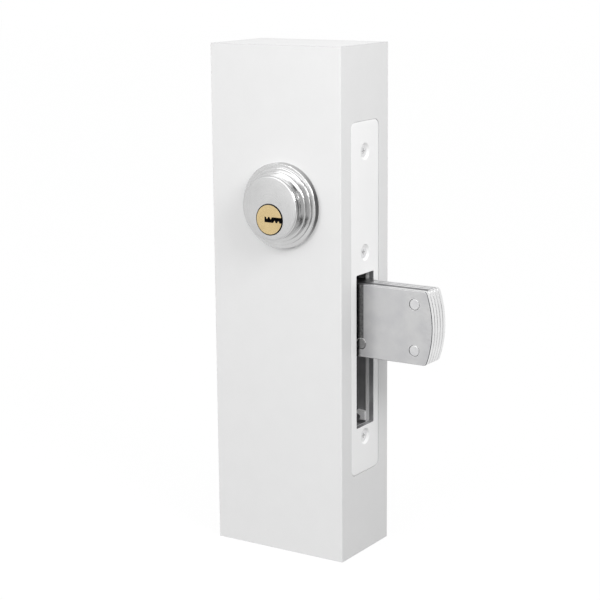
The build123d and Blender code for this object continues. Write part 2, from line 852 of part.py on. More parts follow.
write(trim_ring(), "outer_trim_ring")
with BuildPart() as key_cylinder_body:
    add(cylinder_blank())
    with BuildSketch(face_at(-case_side_y)):
        with Locations(plug_centre):
            Circle(plug_radius + running_clearance)
    extrude(amount=-head_front_y - case_side_y, mode=Mode.SUBTRACT)
    with BuildSketch(face_at(plug_front_y + plug_face_thickness + running_clearance)):
        with Locations(plug_centre):
            Circle(pocket_radius)
    extrude(amount=plug_face_thickness + running_clearance, mode=Mode.SUBTRACT)
    with BuildSketch(Plane.XY.offset(plug_z)):
        with Locations(*pin_places):
            Circle(pin_bore)
    extrude(amount=strip_bottom - plug_z, mode=Mode.SUBTRACT)
    with BuildSketch(Plane.XY.offset(strip_bottom)):
        with Locations(strip_middle):
            Rectangle(strip_width + 2 * running_clearance, strip_length + 2 * running_clearance)
    extrude(amount=2 * strip_thickness, mode=Mode.SUBTRACT)
write(key_cylinder_body.part, "key_cylinder_body")

with BuildPart() as chamber_strip:
    with BuildSketch(Plane.XY.offset(strip_bottom)):
        with Locations(strip_middle):
            Rectangle(strip_width, strip_length)
    extrude(amount=strip_thickness)
write(chamber_strip.part, "chamber_strip")


def cam_screw_places():
    """The centres of the two screws that hold a cam, above and below its axis."""
    return (
        (plug_x, plug_z + cam_screw_spread),
        (plug_x, plug_z - cam_screw_spread),
    )


# Plug: a brass barrel with a keyway and one bore for each key pin. Two of the keyway's teeth hang from
# its top, and two stand on its bottom nearer the edge, so that only a key grooved to match goes in.
keyway_end_x = plug_x - keyway_left
upper_teeth = []
lower_teeth = []
for tooth in range(keyway_teeth):
    upper_x = keyway_end_x + keyway_first_tooth + keyway_tooth_pitch * tooth
    lower_x = upper_x + keyway_tooth_pitch * keyway_teeth
    upper_teeth += [
        (upper_x - keyway_tooth_width / 2, keyway_top),
        (upper_x, keyway_top - keyway_tooth_height),
        (upper_x + keyway_tooth_width / 2, keyway_top),
    ]
    lower_teeth += [
        (lower_x - keyway_tooth_width / 2, keyway_bottom),
        (lower_x, keyway_bottom + keyway_tooth_height),
        (lower_x + keyway_tooth_width / 2, keyway_bottom),
    ]
with BuildPart() as key_plug:
    with BuildSketch(face_at(plug_rear_y)):
        with Locations(plug_centre):
            Circle(plug_radius)
    extrude(amount=plug_rear_y - plug_front_y)
    with BuildSketch(face_at(plug_front_y + plug_face_thickness)):
        with Locations(plug_centre):
            Circle(plug_face_radius)
    extrude(amount=plug_face_thickness)
    with BuildSketch(face_at(plug_front_y + keyway_depth)):
        with BuildLine():
            Polyline(
                (keyway_end_x, keyway_bottom),
                (keyway_end_x, keyway_top),
                *upper_teeth,
                (plug_x + 2 * plug_radius, keyway_top),
                (plug_x + 2 * plug_radius, keyway_bottom),
                *reversed(lower_teeth),
                close=True,
            )
        make_face()
    extrude(amount=keyway_depth, mode=Mode.SUBTRACT)
    with BuildSketch(Plane.XY.offset(plug_z)):
        with Locations(*pin_places):
            Circle(pin_bore)
    extrude(amount=2 * plug_radius, mode=Mode.SUBTRACT)
    with BuildSketch(face_at(plug_rear_y)):
        with Locations(*cam_screw_places()):
            Circle(cam_screw_radius + rivet_fit)
    extrude(amount=cam_screw_length, mode=Mode.SUBTRACT)
write(key_plug.part, "key_plug")

with BuildPart() as key_pins:
    for place in pin_places:
        with BuildSketch(Plane.XY.offset(keyway_top + key_pin_point)):
            with Locations(place):
                Circle(pin_radius)
        extrude(amount=key_pin_top - keyway_top - key_pin_point)
        with BuildSketch(Plane.XY.offset(keyway_top + key_pin_point)):
            with Locations(place):
                Circle(pin_radius)
        extrude(amount=-key_pin_point, taper=key_pin_taper)
write(key_pins.part, "key_pins")

with BuildPart() as driver_pins:
    with BuildSketch(Plane.XY.offset(driver_bottom)):
        with Locations(*pin_places):
            Circle(pin_radius)
    extrude(amount=driver_length)
write(driver_pins.part, "driver_pins")

with BuildPart() as pin_springs:
    with BuildSketch(Plane.XY.offset(driver_bottom + driver_length)):
        with Locations(*pin_places):
            Circle(pin_radius)
            Circle(pin_radius - spring_wire, mode=Mode.SUBTRACT)
    extrude(amount=strip_bottom - driver_bottom - driver_length)
write(pin_springs.part, "pin_springs")


def cylinder_cam():
    """The key side's cam: a hub on the end of the plug, with one arm that reaches into the fork."""
    with BuildPart() as cam:
        with BuildSketch(face_at(plug_rear_y + cam_thickness)):
            with Locations(plug_centre):
                Circle(cam_hub_radius)
            add(hull_of([(plug_centre, cam_tip_round), (cam_tip_centre, cam_tip_round)]))
            with Locations(*cam_screw_places()):
                Circle(cam_screw_radius + rivet_fit, mode=Mode.SUBTRACT)
        extrude(amount=cam_thickness)
    return cam.part


def cam_screws():
    """The two screws that hold the key side's cam to its plug."""
    with BuildPart() as pair:
        with BuildSketch(face_at(plug_rear_y + cam_thickness)):
            with Locations(*cam_screw_places()):
                Circle(cam_screw_radius)
        extrude(amount=cam_thickness + cam_screw_length)
        with BuildSketch(face_at(plug_rear_y + cam_thickness + cam_screw_head_height)):
            with Locations(*cam_screw_places()):
                Circle(cam_screw_head_radius)
        extrude(amount=cam_screw_head_height)
    return pair.part


write(cylinder_cam(), "key_cam")
write(cam_screws(), "key_cam_screws")

# Room side: the same ring, head and cam, with a plain spindle that a turn knob drives
write(mirror(trim_ring(), about=Plane.XZ), "inner_trim_ring")
write(mirror(cylinder_cam(), about=Plane.XZ), "turn_cam")
write(mirror(cam_screws(), about=Plane.XZ), "turn_cam_screws")

with BuildPart() as turn_cylinder_body:
    add(mirror(cylinder_blank(), about=Plane.XZ))
    with BuildSketch(face_at(-head_front_y)):
        with Locations(plug_centre):
            Circle(plug_radius + running_clearance)
    extrude(amount=-head_front_y - case_side_y, mode=Mode.SUBTRACT)
write(turn_cylinder_body.part, "turn_cylinder_body")

spindle_end_y = -head_front_y
knob_y = spindle_end_y + knob_gap
tang_end_y = spindle_end_y + knob_tang_length
with BuildPart() as turn_spindle:
    with BuildSketch(face_at(spindle_end_y)):
        with Locations(plug_centre):
            Circle(plug_radius)
    extrude(amount=spindle_end_y + plug_rear_y)
    with BuildSketch(face_at(tang_end_y)):
        with Locations(plug_centre):
            Rectangle(knob_tang_width, knob_tang_width)
    extrude(amount=knob_tang_length)
    with BuildSketch(face_at(-plug_rear_y + cam_screw_length)):
        with Locations(*cam_screw_places()):
            Circle(cam_screw_radius + rivet_fit)
    extrude(amount=cam_screw_length, mode=Mode.SUBTRACT)
write(turn_spindle.part, "turn_spindle")

with BuildPart() as turn_knob:
    with BuildSketch(face_at(knob_y + knob_base_thickness)):
        with Locations(plug_centre):
            Circle(knob_base_radius)
    extrude(amount=knob_base_thickness)
    with BuildSketch(face_at(knob_y + knob_base_thickness / 2)):
        with Locations(plug_centre):
            SlotOverall(knob_length, knob_width, rotation=90)
    extrude(amount=-(knob_height - knob_base_thickness / 2), taper=knob_taper)
    fillet(turn_knob.faces().sort_by(Axis.Y)[-1].edges(), knob_edge)
    tang_pocket = knob_tang_width + 2 * rivet_fit
    with BuildSketch(face_at(tang_end_y + rivet_fit)):
        with Locations(plug_centre):
            Rectangle(tang_pocket, tang_pocket)
    extrude(amount=knob_tang_length, mode=Mode.SUBTRACT)
    screw_y = knob_y + knob_base_thickness + knob_screw_setback
    with BuildSketch(Plane.YZ.offset(plug_x + knob_tang_width / 2)):
        with Locations((screw_y, plug_z)):
            Circle(knob_screw_radius + rivet_fit)
    extrude(amount=knob_width, mode=Mode.SUBTRACT)
write(turn_knob.part, "turn_knob")

with BuildPart() as knob_screw:
    with BuildSketch(Plane.YZ.offset(plug_x + knob_tang_width / 2 + rivet_fit)):
        with Locations((screw_y, plug_z)):
            Circle(knob_screw_radius)
    extrude(amount=(knob_width - knob_tang_width) / 2 - rivet_fit - knob_screw_recess)
write(knob_screw.part, "knob_screw")
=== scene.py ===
import math

import bpy
from mathutils import Matrix, Vector


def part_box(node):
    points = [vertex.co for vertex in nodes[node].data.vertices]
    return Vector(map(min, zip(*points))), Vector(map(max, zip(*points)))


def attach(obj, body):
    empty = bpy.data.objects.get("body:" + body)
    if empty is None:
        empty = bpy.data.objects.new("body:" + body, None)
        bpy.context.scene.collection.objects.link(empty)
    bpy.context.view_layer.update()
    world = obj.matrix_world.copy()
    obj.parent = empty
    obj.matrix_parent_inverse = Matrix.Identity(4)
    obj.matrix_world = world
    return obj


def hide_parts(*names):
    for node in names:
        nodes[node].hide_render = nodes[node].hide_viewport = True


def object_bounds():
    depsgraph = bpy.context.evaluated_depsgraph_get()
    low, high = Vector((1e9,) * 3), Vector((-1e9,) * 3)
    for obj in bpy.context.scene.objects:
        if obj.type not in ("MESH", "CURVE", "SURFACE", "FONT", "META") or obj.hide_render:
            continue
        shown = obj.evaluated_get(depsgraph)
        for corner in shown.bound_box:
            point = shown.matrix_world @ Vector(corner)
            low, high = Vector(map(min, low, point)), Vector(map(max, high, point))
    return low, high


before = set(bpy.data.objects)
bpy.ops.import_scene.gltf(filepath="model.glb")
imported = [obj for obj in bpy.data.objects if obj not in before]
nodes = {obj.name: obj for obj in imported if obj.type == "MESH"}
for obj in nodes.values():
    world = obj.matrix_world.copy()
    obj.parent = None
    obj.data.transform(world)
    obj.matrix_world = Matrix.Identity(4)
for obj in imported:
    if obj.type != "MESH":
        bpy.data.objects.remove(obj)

cad_bounds = [list(corner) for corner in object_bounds()]
bpy.ops.object.select_all(action="DESELECT")

# Door stile: a cut length of hollow aluminium extrusion with a flush cap in each end. The extrusion is
# sawn, punched for the lock and then powder coated white, so its coat has a faint orange peel and
# gathers a slightly greyer line along each sharp edge.


def feed(tree, socket, value):
    """Links an output to an input socket, or sets the input to a plain value."""
    if isinstance(value, bpy.types.NodeSocket):
        tree.links.new(value, socket)
    else:
        socket.default_value = value


def math_node(tree, operation, first, second=0.0, clamp=False):
    """A math node on outputs or plain numbers; gives its own output."""
    node = tree.nodes.new("ShaderNodeMath")
    node.operation = operation
    node.use_clamp = clamp
    feed(tree, node.inputs[0], first)
    feed(tree, node.inputs[1], second)
    return node.outputs[0]


def mapped(tree, source, start, end, at_start, at_end):
    """Maps an output's values, from start to end, onto at_start to at_end, and holds them within those."""
    node = tree.nodes.new("ShaderNodeMapRange")
    tree.links.new(source, node.inputs["Value"])
    feed(tree, node.inputs["From Min"], start)
    feed(tree, node.inputs["From Max"], end)
    feed(tree, node.inputs["To Min"], at_start)
    feed(tree, node.inputs["To Max"], at_end)
    return node.outputs["Result"]


def noise(tree, place, scale, detail=2.0, roughness=0.5):
    """Noise on a place, with a scale in waves per metre; gives its output."""
    node = tree.nodes.new("ShaderNodeTexNoise")
    node.inputs["Detail"].default_value = detail
    node.inputs["Roughness"].default_value = roughness
    tree.links.new(place, node.inputs["Vector"])
    feed(tree, node.inputs["Scale"], scale)
    return node.outputs["Fac"]


def spread(tree, source, low, high):
    """Spreads noise, which mostly lies between 0.3 and 0.7, over a range from low to high."""
    return mapped(tree, source, start=0.3, end=0.7, at_start=low, at_end=high)


def mixed(tree, factor, first, second):
    """Mixes two colours, given as tuples or outputs, by a factor; gives the mix's output."""
    mix = tree.nodes.new("ShaderNodeMix")
    mix.data_type = "RGBA"
    tree.links.new(factor, mix.inputs["Factor"])
    colour_inputs = [socket for socket in mix.inputs if socket.type == "RGBA"]
    for socket, value in zip(colour_inputs, (first, second)):
        feed(tree, socket, (*value, 1.0) if isinstance(value, tuple) else value)
    return [socket for socket in mix.outputs if socket.type == "RGBA"][0]


def new_group(name, inputs, outputs):
    """An empty shader node group: its inputs' labels with their values, and its float outputs' labels."""
    tree = bpy.data.node_groups.new(name, "ShaderNodeTree")
    for label, value in inputs.items():
        kind = "NodeSocketVector" if isinstance(value, tuple) else "NodeSocketFloat"
        socket = tree.interface.new_socket(label, in_out="INPUT", socket_type=kind)
        socket.default_value = value
    for label in outputs:
        tree.interface.new_socket(label, in_out="OUTPUT", socket_type="NodeSocketFloat")
    return tree, tree.nodes.new("NodeGroupInput"), tree.nodes.new("NodeGroupOutput")


def placed(tree, group, values):
    """Places a node group in a material's tree and gives it the material's own values."""
    node = tree.nodes.new("ShaderNodeGroup")
    node.node_tree = group
    for label, value in values.items():
        node.inputs[label].default_value = value
    return node


def grain_group():
    """Fine grain and broad blotches on Object coordinates. Stretch draws the grain out along an axis."""
    tree, given, made = new_group(
        "surface_grain", {"Stretch": (1.0, 1.0, 1.0), "Fineness": 1000.0}, ("Grain", "Blotch")
    )
    grains_to_a_blotch = 12.0
    coordinates = tree.nodes.new("ShaderNodeTexCoord").outputs["Object"]
    stretched = tree.nodes.new("ShaderNodeVectorMath")
    stretched.operation = "MULTIPLY"
    tree.links.new(coordinates, stretched.inputs[0])
    tree.links.new(given.outputs["Stretch"], stretched.inputs[1])
    fineness = given.outputs["Fineness"]
    grain = noise(tree, stretched.outputs[0], fineness, detail=4.0, roughness=0.6)
    blotch = noise(tree, coordinates, math_node(tree, "DIVIDE", fineness, grains_to_a_blotch), detail=3.0)
    tree.links.new(grain, made.inputs["Grain"])
    tree.links.new(blotch, made.inputs["Blotch"])
    return tree


def edge_group():
    """A mask that is 1 on an edge and falls to 0 within about Width of it."""
    tree, given, made = new_group("edge_mask", {"Width": 0.0005}, ("Edge",))
    sharpness = 4.0
    rounded = tree.nodes.new("ShaderNodeBevel")
    rounded.samples = 6
    tree.links.new(given.outputs["Width"], rounded.inputs["Radius"])
    geometry = tree.nodes.new("ShaderNodeNewGeometry")
    likeness = tree.nodes.new("ShaderNodeVectorMath")
    likeness.operation = "DOT_PRODUCT"
    tree.links.new(rounded.outputs["Normal"], likeness.inputs[0])
    tree.links.new(geometry.outputs["Normal"], likeness.inputs[1])
    turn = math_node(tree, "SUBTRACT", 1.0, likeness.outputs["Value"])
    tree.links.new(math_node(tree, "MULTIPLY", turn, sharpness, clamp=True), made.inputs["Edge"])
    return tree


grain_tree = grain_group()
edge_tree = edge_group()


def new_material(
    name, colour, blotches, edges, fineness, edge_width, stretch=(1.0, 1.0, 1.0), metallic=0.0
):
    """A material of a colour, with blotches and edges of others; gives it and its grain's output."""
    material = bpy.data.materials.new(name)
    material.use_nodes = True
    tree = material.node_tree
    shader = tree.nodes["Principled BSDF"]
    shader.inputs["Metallic"].default_value = metallic
    grain = placed(tree, grain_tree, {"Stretch": stretch, "Fineness": fineness})
    edge = placed(tree, edge_tree, {"Width": edge_width})
    body = mixed(tree, spread(tree, grain.outputs["Blotch"], low=0.0, high=1.0), colour, blotches)
    tree.links.new(mixed(tree, edge.outputs["Edge"], body, edges), shader.inputs["Base Color"])
    return material, grain.outputs["Grain"]


def textured(material, pattern, smooth, rough, depth, strength):
    """Spreads a material's roughness by a pattern, and raises it by the pattern, depth metres high."""
    tree = material.node_tree
    shader = tree.nodes["Principled BSDF"]
    tree.links.new(spread(tree, pattern, smooth, rough), shader.inputs["Roughness"])
    bump = tree.nodes.new("ShaderNodeBump")
    bump.inputs["Distance"].default_value = depth
    bump.inputs["Strength"].default_value = strength
    tree.links.new(pattern, bump.inputs["Height"])
    tree.links.new(bump.outputs["Normal"], shader.inputs["Normal"])


def scaled(colour, factor):
    """A colour made lighter or darker by a factor, up to white."""
    return tuple(min(1.0, channel * factor) for channel in colour)


def powder_coat(name, colour, edge_colour):
    """White powder coat: satin, with a faint orange peel and a greyer line on sharp edges."""
    material, peel = new_material(
        name, colour, blotches=scaled(colour, 0.985), edges=edge_colour, fineness=1100.0, edge_width=0.0006
    )
    textured(material, peel, smooth=0.38, rough=0.48, depth=0.00006, strength=0.35)
    return material


def dress(material, *names):
    """Gives CAD nodes that keep their own meshes a material."""
    for name in names:
        mesh = nodes[name].data
        mesh.materials.clear()
        mesh.materials.append(material)


stile_coat = powder_coat("stile_powder_coat", colour=(0.80, 0.80, 0.80), edge_colour=(0.66, 0.66, 0.67))
dress(stile_coat, "stile_section", "stile_cap_bottom", "stile_cap_top")

# Faceplate: a stamped steel plate let flush into the stile's edge, with rounded ends and countersunk
# holes. It is powder coated before its slot is cut, so the slot's cut edges are dark bare steel.


def finished(name, body, edge_width, finishes, edge_steps=2):
    """A CAD node's mesh with its edges broken as a maker breaks them, standing for that node.

    The first of its finishes covers it, and the others are there for recoat to give to faces.
    """
    weld_distance = 0.000002
    flat_angle = math.radians(0.4)
    sharp_angle = math.radians(32.0)
    piece = bpy.data.objects.new(f"{name}_finished", nodes[name].data.copy())
    bpy.context.scene.collection.objects.link(piece)
    bpy.ops.object.select_all(action="DESELECT")
    piece.select_set(True)
    bpy.context.view_layer.objects.active = piece
    bpy.ops.object.mode_set(mode="EDIT")
    bpy.ops.mesh.select_all(action="SELECT")
    bpy.ops.mesh.customdata_custom_splitnormals_clear()
    bpy.ops.mesh.remove_doubles(threshold=weld_distance)
    bpy.ops.mesh.dissolve_limited(angle_limit=flat_angle)
    bpy.ops.object.mode_set(mode="OBJECT")
    bpy.ops.object.shade_smooth_by_angle(angle=sharp_angle)
    broken = piece.modifiers.new("broken_edges", "BEVEL")
    broken.width = edge_width
    broken.segments = edge_steps
    broken.limit_method = "ANGLE"
    broken.angle_limit = sharp_angle
    broken.harden_normals = True
    bpy.ops.object.modifier_apply(modifier=broken.name)
    piece.select_set(False)
    piece.data.materials.clear()
    for finish in finishes:
        piece.data.materials.append(finish)
    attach(piece, body)
    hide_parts(name)
    return piece


def recoat(piece, face, finish):
    """Gives one face of a piece another of the piece's finishes."""
    face.material_index = piece.data.materials.find(finish.name)


def plated_steel(
    name, colour, dark, roughness, fineness, depth, stretch=(1, 1, 1), metallic=1.0, wear_and_highlight=1.12, wear_and_highlight_width=0.0003
):
    """Zinc-plated steel: a satin grain, blotchy plating, and edges brightened over a band: as wear at the
    usual 1.12, and as a painted highlight where that is raised.
    """
    bright = scaled(colour, wear_and_highlight)
    material, grain = new_material(name, colour, dark, bright, fineness, wear_and_highlight_width, stretch, metallic)
    textured(material, grain, smooth=roughness - 0.06, rough=roughness + 0.08, depth=depth, strength=0.5)
    return material


faceplate_coat = powder_coat(
    "faceplate_powder_coat", colour=(0.96, 0.96, 0.96), edge_colour=(0.92, 0.92, 0.92)
)
cut_steel = plated_steel(
    "cut_steel", colour=(0.46, 0.46, 0.47), dark=(0.30, 0.30, 0.31),
    roughness=0.45, fineness=1800.0, depth=0.00002, stretch=(1, 1, 0.1), metallic=0.4,
)
screw_zinc = plated_steel(
    "screw_zinc", colour=(0.80, 0.80, 0.80), dark=(0.72, 0.72, 0.73),
    roughness=0.35, fineness=2500.0, depth=0.00001, metallic=0.4,
)
faceplate = finished(
    "faceplate", "stile", edge_width=0.00018, finishes=(faceplate_coat, cut_steel)
)
slot_half_width = 0.0084
slot_low, slot_high = 0.0640, 0.1425
# The slot's cut walls are the faces inside it whose normals lie less than this along X.
cut_wall = 0.9
for face in faceplate.data.polygons:
    inside = abs(face.center.y) < slot_half_width and slot_low < face.center.z < slot_high
    if inside and abs(face.normal.x) < cut_wall:
        recoat(faceplate, face, cut_steel)
finished("faceplate_screws", "stile", edge_width=0.00008, finishes=(screw_zinc,))

# Lock case: a pressed steel shell and cover joined by riveted spacers, zinc plated. Lugs on its ends
# take the upper faceplate screw and the mounting screws, which pull clips against the stile's wall. The
# edges of its mouth, behind the slot, are bright where the shell was pierced.
case_zinc = plated_steel(
    "case_zinc", colour=(0.43, 0.43, 0.44), dark=(0.34, 0.34, 0.35),
    roughness=0.5, fineness=1500.0, depth=0.00002, stretch=(1, 1, 0.2), metallic=0.4,
)
pierced_steel_and_highlight = plated_steel(
    "pierced_steel_and_highlight", colour=(0.97, 0.97, 0.97), dark=(0.92, 0.92, 0.92),
    roughness=0.35, fineness=1800.0, depth=0.00001, stretch=(1, 1, 0.1), metallic=0.1,
)
fastener_zinc = plated_steel(
    "fastener_zinc", colour=(0.70, 0.70, 0.71), dark=(0.60, 0.60, 0.62),
    roughness=0.3, fineness=2500.0, depth=0.00001,
)
dress(case_zinc, "case_cover", "case_spacers", "case_posts", "upper_lug", "lower_lug", "stile_clips")
case_shell = finished(
    "case_shell", "stile", edge_width=0.0001, finishes=(case_zinc, pierced_steel_and_highlight)
)
mouth_depth = 0.0018
mouth_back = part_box("case_shell")[1].x - mouth_depth
for face in case_shell.data.polygons:
    in_mouth = face.center.x > mouth_back and abs(face.center.y) < slot_half_width
    if in_mouth and abs(face.normal.x) < cut_wall:
        recoat(case_shell, face, pierced_steel_and_highlight)
dress(fastener_zinc, "case_rivets", "lug_rivets", "mounting_screws")

# Bolt: five hardened steel plates riveted into one thick swing bolt on a bronze bush, and barrel plated
# together. Its faces are satin and slightly mottled, with dark seams between the plates. Its nose, the
# tops of its plates and the edges of its faces are lightened as a painted highlight, but one plate's top
# is painted dark. Its root, behind a line, is darkened as a painted shadow, and where it is closed in
# towards the slot it is darkened as painted shade.


def closed_in_group():
    """A mask that is 1 where a surface is shut in by what lies within Reach, and 0 where it is open.

    Shut and Open are the shares of open space at which the mask is full and at which it is gone.
    """
    tree, given, made = new_group("closed_in", {"Reach": 0.01, "Shut": 0.4, "Open": 0.7}, ("Closed",))
    around = tree.nodes.new("ShaderNodeAmbientOcclusion")
    around.samples = 8
    tree.links.new(given.outputs["Reach"], around.inputs["Distance"])
    shut, wide_open = given.outputs["Shut"], given.outputs["Open"]
    closed = mapped(tree, around.outputs["AO"], start=shut, end=wide_open, at_start=1.0, at_end=0.0)
    tree.links.new(closed, made.inputs["Closed"])
    return tree


def object_place(tree):
    """Gives the output of Object coordinates, and the outputs of their X, Y and Z."""
    coordinates = tree.nodes.new("ShaderNodeTexCoord").outputs["Object"]
    parts = tree.nodes.new("ShaderNodeSeparateXYZ")
    tree.links.new(coordinates, parts.inputs[0])
    return coordinates, parts.outputs


def seam_group():
    """A mask along the seams of plates stacked in Y, uneven, as where plating salts creep out.

    First seam is at one side of the stack, and nothing further than Inside from the middle is stained.
    """
    tree, given, made = new_group(
        "seam_stain",
        {"First seam": 0.0, "Pitch": 0.003, "Half width": 0.0005, "Inside": 0.005},
        ("Stain",),
    )
    place, along = object_place(tree)
    across = math_node(tree, "SUBTRACT", along["Y"], given.outputs["First seam"])
    half_pitch = math_node(tree, "MULTIPLY", given.outputs["Pitch"], 0.5)
    to_seam = math_node(tree, "PINGPONG", across, half_pitch)
    share = math_node(tree, "DIVIDE", to_seam, given.outputs["Half width"])
    near = math_node(tree, "SUBTRACT", 1.0, share, clamp=True)
    off_middle = math_node(tree, "ABSOLUTE", along["Y"])
    within = math_node(tree, "LESS_THAN", off_middle, given.outputs["Inside"])
    uneven = spread(tree, noise(tree, place, scale=260.0), low=0.3, high=1.4)
    stain = math_node(tree, "MULTIPLY", math_node(tree, "MULTIPLY", near, within), uneven, clamp=True)
    tree.links.new(stain, made.inputs["Stain"])
    return tree


def root_shadow_group():
    """A mottled mask, for a painted shadow, on the metal behind a Line in X and above a Foot in Z."""
    tree, given, made = new_group("root_shadow_mask", {"Line": 0.04, "Foot": 0.1}, ("Root",))
    blur = 0.0004
    place, along = object_place(tree)
    root = spread(tree, noise(tree, place, scale=900.0), low=0.75, high=1.05)
    for larger, smaller in ((given.outputs["Line"], along["X"]), (along["Z"], given.outputs["Foot"])):
        past = math_node(tree, "DIVIDE", math_node(tree, "SUBTRACT", larger, smaller), blur)
        root = math_node(tree, "MULTIPLY", root, math_node(tree, "ADD", past, 0.5, clamp=True))
    tree.links.new(math_node(tree, "MINIMUM", root, 1.0), made.inputs["Root"])
    return tree


def toned(material, mask_tree, values, colour):
    """Lays a colour over a material's own where a mask group, given its values, is 1."""
    tree = material.node_tree
    base = tree.nodes["Principled BSDF"].inputs["Base Color"]
    mask = placed(tree, mask_tree, values)
    tree.links.new(mixed(tree, mask.outputs[0], base.links[0].from_socket, colour), base)


closed_in_tree = closed_in_group()
seam_tree = seam_group()
root_shadow_tree = root_shadow_group()

plate_count = 5
bolt_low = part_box("bolt_plate_1")[0]
bolt_half_width = abs(bolt_low.y)
plate_pitch = 2 * bolt_half_width / plate_count
seams = {
    "First seam": bolt_low.y,
    "Pitch": plate_pitch,
    "Half width": 0.00045,
    "Inside": bolt_half_width - plate_pitch / 2,
}
# A painted shadow darkens the bolt from the faceplate out to root_reach, and down to root_rise over its
# lower edge. It darkens the rivet there a little further out and down, so that the whole of its head is
# dark.
root_reach, root_rise = 0.0031, 0.0040
root_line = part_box("faceplate")[1].x + root_reach
root_foot = bolt_low.z + root_rise
rivet_past_line, rivet_under_foot = 0.0016, 0.0010
rivet_root = {"Line": root_line + rivet_past_line, "Foot": root_foot - rivet_under_foot}
# The bolt is darkened as painted shade where it is closed in, most of all towards the slot: face_shade on
# its faces and rivets, edge_shade on the tops of its plates.
face_shade = {"Reach": 0.012, "Shut": 0.42, "Open": 0.58}
edge_shade = {"Reach": 0.012, "Shut": 0.46, "Open": 0.72}
painted_shade = (0.08, 0.08, 0.08)
seam_stain = (0.06, 0.06, 0.06)
root_shadow_colour, rivet_shadow_colour = (0.10, 0.10, 0.10), (0.26, 0.26, 0.26)

# The edges of the bolt's faces are brightened 1.5 times over 0.6 mm, as a painted highlight.
bolt_satin = plated_steel(
    "bolt_satin", colour=(0.53, 0.53, 0.53), dark=(0.46, 0.46, 0.47),
    roughness=0.34, fineness=1300.0, depth=0.00003, stretch=(0.35, 1, 1), wear_and_highlight=1.5, wear_and_highlight_width=0.0006,
)
toned(bolt_satin, seam_tree, seams, seam_stain)
toned(bolt_satin, root_shadow_tree, {"Line": root_line, "Foot": root_foot}, root_shadow_colour)
toned(bolt_satin, closed_in_tree, face_shade, painted_shade)
# The tops of the plates are painted lighter than the bolt's faces, as a painted highlight.
plate_top_highlight = plated_steel(
    "plate_top_highlight", colour=(0.82, 0.82, 0.82), dark=(0.74, 0.74, 0.75),
    roughness=0.32, fineness=1300.0, depth=0.00002, stretch=(0.35, 1, 1),
)
toned(plate_top_highlight, seam_tree, seams, seam_stain)
toned(plate_top_highlight, closed_in_tree, edge_shade, painted_shade)
dark_top_edge = plated_steel(
    "dark_top_edge", colour=(0.26, 0.26, 0.26), dark=(0.16, 0.16, 0.17),
    roughness=0.4, fineness=1300.0, depth=0.00002, stretch=(0.35, 1, 1),
)
toned(dark_top_edge, closed_in_tree, edge_shade, painted_shade)
rivet_satin = plated_steel(
    "rivet_satin", colour=(0.62, 0.62, 0.62), dark=(0.56, 0.56, 0.57),
    roughness=0.32, fineness=2200.0, depth=0.00002,
)
toned(rivet_satin, root_shadow_tree, rivet_root, rivet_shadow_colour)
toned(rivet_satin, closed_in_tree, face_shade, painted_shade)
# The nose is painted lighter than the rest of the bolt, as a painted highlight.
nose_highlight_steel = plated_steel(
    "nose_highlight_steel", colour=(0.84, 0.84, 0.84), dark=(0.76, 0.76, 0.76),
    roughness=0.3, fineness=1600.0, depth=0.00002, stretch=(1, 1, 0.2),
)
seam_grey = plated_steel(
    "seam_grey", colour=(0.66, 0.66, 0.66), dark=(0.56, 0.56, 0.57),
    roughness=0.4, fineness=2200.0, depth=0.00001,
)
# Dark for the seams between the plates, and painted shade round the rivets' heads, in the keyway and in the
# gap round the plug.
seam_and_shade_dark = plated_steel(
    "seam_and_shade_dark", colour=(0.15, 0.15, 0.16), dark=(0.08, 0.08, 0.09),
    roughness=0.5, fineness=2200.0, depth=0.00001,
)

# The second plate's top is painted dark, and shows as a dark line between the lighter tops of the others.
dark_top_plate = 2
# How far a face's normal lies along Y tells a plate's square edges from its slants and its flat faces,
# along X it tells the nose, and along Z the top. Slants deeper than seam_depth line the seams.
square_edge, flat_face = 0.15, 0.98
nose_face, top_face = 0.3, 0.9
seam_depth = 0.0004
for number in range(1, plate_count + 1):
    top_finish = dark_top_edge if number == dark_top_plate else plate_top_highlight
    plate = finished(
        f"bolt_plate_{number}", "bolt", edge_width=0.00008,
        finishes=(bolt_satin, seam_and_shade_dark, nose_highlight_steel, seam_grey, top_finish),
    )
    for face in plate.data.polygons:
        slanted = square_edge < abs(face.normal.y) < flat_face
        on_nose = face.normal.x > nose_face
        if slanted and abs(face.center.y) < bolt_half_width - seam_depth:
            recoat(plate, face, seam_grey if on_nose and number > 1 else seam_and_shade_dark)
        elif slanted and number == 1 and on_nose:
            recoat(plate, face, seam_and_shade_dark)
        elif on_nose and abs(face.normal.y) < square_edge:
            recoat(plate, face, nose_highlight_steel)
        elif face.normal.z > top_face:
            recoat(plate, face, top_finish)

rivets = finished(
    "bolt_rivets", "bolt", edge_width=0.0004,
    finishes=(rivet_satin, seam_and_shade_dark, pierced_steel_and_highlight), edge_steps=3,
)
root_rivet_reach = 0.0020
# A rivet's rim is the faces whose normals lie less than this along Y, painted dark as shade round its head.
# The rim of the rivet at the root is wider, and its upper part, where the normals lie more than bright_rim
# along Z, is painted bright as a highlight.
rim, root_rim, bright_rim = 0.6, 0.9, 0.2
for face in rivets.data.polygons:
    at_root = face.center.x < root_line + root_rivet_reach
    if abs(face.normal.y) < (root_rim if at_root else rim):
        recoat(rivets, face, pierced_steel_and_highlight if at_root and face.normal.z > bright_rim else seam_and_shade_dark)
dress(fastener_zinc, "bolt_pivot_pin", "bolt_washers")

